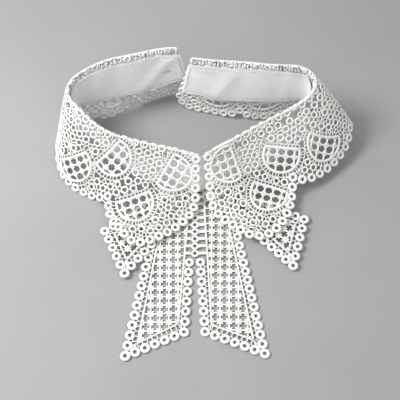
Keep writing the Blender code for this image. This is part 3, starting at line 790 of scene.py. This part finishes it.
def thread():
    """White lustrous embroidery thread laid side by side across each cord in satin stitch."""
    made, tree, shader = blank("white_satin_stitch")
    at = add(tree, "ShaderNodeUVMap", {}, uv_map="stitch").outputs["UV"]
    # Strands lie 0.3 mm apart, coarser than real thread, so that the stitches show.
    pitch = 0.3
    strands = add(tree, "ShaderNodeTexWave", {"Vector": at, "Scale": pi / 10 / pitch,
                                              "Distortion": 1.2, "Detail": 2.0,
                                              "Detail Scale": 0.6}, bands_direction="X").outputs["Fac"]
    place = add(tree, "ShaderNodeTexCoord", {}).outputs["Object"]
    fluff = add(tree, "ShaderNodeTexNoise", {"Vector": place, "Scale": 900.0, "Detail": 3.0}).outputs["Fac"]
    height = add(tree, "ShaderNodeMath", {0: fluff, 1: 0.8, 2: strands}, operation="MULTIPLY_ADD")
    bump = add(tree, "ShaderNodeBump", {"Height": height.outputs[0], "Strength": 0.6, "Distance": 0.00008})
    patch = add(tree, "ShaderNodeTexNoise", {"Vector": place, "Scale": 60.0, "Detail": 2.0}).outputs["Fac"]
    shade = ramp(tree, patch, [(0.3, "#e9e7e3"), (0.7, "#f1efec")])
    tree.links.new(shade, shader.inputs["Base Color"])
    tree.links.new(bump.outputs["Normal"], shader.inputs["Normal"])
    shader.inputs["Roughness"].default_value = 0.6
    shader.inputs["Sheen Weight"].default_value = 0.3
    shader.inputs["Sheen Roughness"].default_value = 0.4
    shader.inputs["Subsurface Weight"].default_value = 0.3
    shader.inputs["Subsurface Radius"].default_value = (1.0, 0.98, 0.96)
    shader.inputs["Subsurface Scale"].default_value = 0.0008
    return made


lace_thread = thread()


def cloth_run(surface, outline, b):
    """Length of the cloth along one depth of the pattern, within the outline."""
    s = np.arange(outline[:, 0].min(), outline[:, 0].max(), 0.5)
    spots = np.stack([s, np.full(len(s), b)], 1)
    step = np.linalg.norm(surface(s + 0.25, b) - surface(s - 0.25, b), axis=1)
    return step[inside(spots, outline)].sum()


def make_leaf(name, side, node):
    """One half of the lace collar: its rings, fans and plain cords, and the bars that link them.
    The side is -1 for the left half and 1 for the right."""
    def surface(a, b):
        return leaf(side * np.asarray(a), b)

    def within(points):
        return inside(points, outline)

    edge = leaf_rings(side, surface)
    end = LEAF_END[side]
    outline = np.vstack([edge, [(end, -LACE_LEG), (edge[0, 0], -LACE_LEG)]])
    fans = FANS[side]
    field, sizes = field_rings(surface, edge, fans, outline)
    # No ring is worked over the turn at the very end, where the crease and the end cord meet.
    kept = (field[:, 0] < end - END_OUT) | (np.abs(field[:, 1]) > 2.6)
    field, sizes = field[kept], sizes[kept]
    cords, posts = [], []
    for fan in fans:
        made, rim = fan_cords(surface, fan, [other for other in fans if other is not fan], within)
        cords += made
        posts.append(rim)
    # Three plain cords: the hem behind the band, the crease of the turn, and down the back end.
    last = end + END_OUT
    hem = np.stack([np.linspace(1.2, last, 110), np.full(110, -LACE_LEG + HEM_INSET)], 1)
    crease = np.stack([np.linspace(2.0, last, 140), np.full(140, 0.5)], 1)
    close = np.stack([np.full(16, last), np.linspace(-LACE_LEG + HEM_INSET, 3.0, 16)], 1)
    cords += [(hem, *HEM_CORD), (crease, *CREASE_CORD), (close, *CREASE_CORD)]
    posts += [hem[::2], crease[::2], close[::2]]
    centres = np.vstack([edge, field])
    reach = np.concatenate([np.full(len(edge), EDGE_RING), sizes])
    cords += links(surface, centres, reach, np.vstack(posts))
    rings = ring_cords(surface, edge, EDGE_RING, EDGE_STITCH)
    rings += ring_cords(surface, field, sizes, 0.5 * sizes, 20)
    parts = [worked(surface, rings, 8, side), worked(surface, cords, 6, side)]
    made = make_piece(name, parts, lace_thread)
    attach(made, "root")
    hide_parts(node)
    # Runs of cloth across the leaf at depths down it, and its area with the ring row, worked out but not
    # used further.
    runs = [cloth_run(surface, outline, b) for b in range(2, 45, 3)]
    area = cloth_area(surface, outline) + len(edge) * RING_PITCH * EDGE_RING


make_leaf("guipure_leaf_left", -1, "collar_leaf_left")
make_leaf("guipure_leaf_right", 1, "collar_leaf_right")


# Bow: two long tails flat on the surface and two pointed wings on them, of the same guipure: a
# square net inside a straight cord, and a row of rings all round. The top ends lie under the leaves.
BORDER = 4.6             # from the ring row in to the straight cord
BOW_GAP = 0.3            # between the tails and the wings on them
WAVE = 0.35              # half of the most that slow waves lift the lace off its rest
BOW_NET_CORD = (0.6, 0.56, 0.0, False)
BORDER_HALF = 0.72       # half width of the straight cord
JOINT = 2.6              # from the ring row in to the joints of the bars between two rings
BAR_START = 2.2          # bars begin this far from a ring's centre


def level(height):
    """Surface of a piece that lies flat, its middle at the height: the pattern is the plan, lifted
    by the product of a slow sine and a slow cosine."""
    def surface(x, y):
        x, y = (np.asarray(v, float).ravel() for v in np.broadcast_arrays(x, y))
        wave = 1 + np.sin(x / 7.0 + y / 19.0) * np.cos(y / 11.0 - x / 23.0)
        return np.stack([x, y, height + WAVE * wave], 1)
    return surface


def drawn_in(corners, distance):
    """The outline moved in by the distance on every side: each corner goes to where its two moved
    sides meet. The corners run clockwise."""
    corners = np.asarray(corners, float)
    before, after = corners - np.roll(corners, 1, 0), np.roll(corners, -1, 0) - corners
    moved = []
    for corner, came, goes in zip(corners, before, after):
        came, goes = came / np.linalg.norm(came), goes / np.linalg.norm(goes)
        inward = np.array([(came[1], -came[0]), (goes[1], -goes[0])])
        moved.append(corner + np.linalg.solve(inward, (distance, distance)))
    return np.array(moved)


def stretches(start, end, outline):
    """Parts of the line from start to end that lie within the outline, as point pairs."""
    t = np.linspace(0, 1, 900)[:, None]
    line = np.asarray(start) + (np.asarray(end) - start) * t
    kept = inside(line, outline)
    edges = np.flatnonzero(np.diff(kept.astype(int)))
    bounds = np.concatenate([[-1], edges, [len(line) - 1]])
    return [(line[a + 1], line[b]) for a, b in zip(bounds, bounds[1:]) if kept[a + 1] and b - a > 9]


def net_cords(surface, outline, at, degrees):
    """Square net within the outline, from the centre of one cell, with a picot in each corner."""
    axes = turned(np.eye(2), degrees)
    reach = 22 * CELL
    cords = []
    for k in range(-22, 22):
        for along, offset in ((axes[0], axes[1]), (axes[1], axes[0])):
            middle = np.asarray(at) + offset * (k + 0.5) * CELL
            for start, end in stretches(middle - along * reach, middle + along * reach, outline):
                count = max(3, int(np.linalg.norm(end - start) / 1.6))
                path = start + (end - start) * np.linspace(0, 1, count)[:, None]
                path += 0.07 * chance.standard_normal(path.shape)
                cords.append((path, *BOW_NET_CORD))
    i, j = np.meshgrid(np.arange(-22, 22) + 0.5, np.arange(-22, 22) + 0.5)
    crossings = np.asarray(at) + CELL * (i.ravel()[:, None] * axes[0] + j.ravel()[:, None] * axes[1])
    for reach in ((1, 1), (-1, 1), (1, -1), (-1, -1)):
        way = np.array(reach) @ axes
        tips = crossings + way * 1.6
        for crossing in crossings[inside(tips, outline)]:
            cords.append(picot(surface, crossing, np.zeros(2), way))
    return cords


def nearest(point, outline):
    """Point on the outline that lies nearest: the best foot among those on its sides."""
    start = np.asarray(outline, float)
    way = np.roll(start, -1, 0) - start
    t = np.clip(np.sum((point - start) * way, 1) / np.sum(way ** 2, 1), 0, 1)
    feet = start + way * t[:, None]
    return feet[np.argmin(np.linalg.norm(feet - point, axis=1))]


def make_flat(name, node, cut, row, border, height, at, degrees, more=((), ())):
    """A flat piece of the bow: the corners of its outline and of its row of rings, walked
    clockwise; the straight cord inside the rings; the net's cell centre and turn; what it lies
    on; more rings and cords."""
    surface = level(height)
    border = np.asarray(border, float)
    cords = net_cords(surface, border, at, degrees) + list(more[1])
    for start, end in zip(border, np.roll(border, -1, 0)):
        cords.append(bar(start, end, BORDER_HALF, max(4, int(np.linalg.norm(end - start) / 2))))
    sides = [even(surface, side, RING_PITCH) for side in zip(row, row[1:])]
    rings = np.vstack([sides[0]] + [side[1:] for side in sides[1:]])
    for a, b in zip(rings, rings[1:]):
        step = (b - a) / np.linalg.norm(b - a)
        inward = np.array([step[1], -step[0]])
        joint, foot = (a + b) / 2 + inward * JOINT, nearest((a + b) / 2, border)
        cords.append(bar(a + step * BAR_START, b - step * BAR_START, 0.6))
        cords.append(bar(a + inward * BAR_START, nearest(a, border), 0.5))
        cords.append(bar(joint, foot, 0.42))
        cords.append(bar(a + (joint - a) * 0.72, joint, 0.42))
        cords.append(bar(b + (joint - b) * 0.72, joint, 0.42))
    parts = [worked(surface, ring_cords(surface, rings, EDGE_RING, EDGE_STITCH, 28), 8, -1)]
    if len(more[0]):
        parts.append(worked(surface, ring_cords(surface, more[0], FIELD_RING, 1.5), 8, -1))
    parts.append(worked(surface, cords, 6, -1))
    made = make_piece(name, parts, lace_thread)
    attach(made, "root")
    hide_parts(node)
    outline = drawn_in(cut, -EDGE_RING)
    area = cloth_area(surface, outline)
    return made


TAIL_LEVEL = LACE_WALL / 2
WING_LEVEL = LACE_WALL * 1.5 + BOW_GAP
LEFT_BORDER = [(-6.4, 14.0), (-7.9, -22.1), (-12.5, -82.4), (-35.3, -94.2), (-25.3, -30.3), (-18.5, 12.0)]
RIGHT_BORDER = [(12.5, 13.0), (18.8, -25.5), (30.4, -92.4), (6.7, -83.0), (2.5, -0.3), (1.8, 14.0)]
# The tails share one row of rings down to where they part, held to both borders by broad bars.
shared = np.stack([np.full(11, -3.0), np.linspace(11.2, -37.6, 11)], 1)
ties = []
for spot in shared:
    for border in (LEFT_BORDER, RIGHT_BORDER):
        foot = nearest(spot, border)
        start = spot + (foot - spot) * 2.0 / np.linalg.norm(foot - spot)    # on the ring's stitching
        ties.append(bar(start, foot, 1.3, high=0.55))
ties += [bar(a + (b - a) * 0.36, a + (b - a) * 0.64, 0.7) for a, b in zip(shared, shared[1:])]
outer = [(-9.0, -87.5), (-42.0, -101.8), (-30.8, -40.3), (-23.0, 8.0)]
left_tail = make_flat("guipure_tail_left", "bow_tail_left", [(-6.3, 18.5), (-6.3, -46.0), *outer],
                      [(-6.3, -43.4), *outer], LEFT_BORDER, TAIL_LEVEL, (-20.5, -73.5), 1,
                      (shared, ties))
outer = [(17.0, 10.0), (24.8, -38.0), (36.5, -100.3), (3.0, -87.2)]
right_tail = make_flat("guipure_tail_right", "bow_tail_right", [*outer, (0.3, -46.0), (0.3, 18.5)],
                       [*outer, (0.3, -43.4)], RIGHT_BORDER, TAIL_LEVEL, (14.4, -67.7), -1)
outer = [(-6.5, -3.0), (-44.4, -51.2), (-57.5, -23.1), (-6.5, 12.5)]
make_flat("guipure_wing_left", "bow_wing_left", outer, outer, drawn_in(outer, BORDER),
          WING_LEVEL, (-43.5, -31.1), -41)
outer = [(6.0, 12.0), (63.5, -15.0), (55.2, -46.1), (6.0, 3.0)]
make_flat("guipure_wing_right", "bow_wing_right", outer, outer, drawn_in(outer, BORDER),
          WING_LEVEL, (50.9, -25.3), -37)
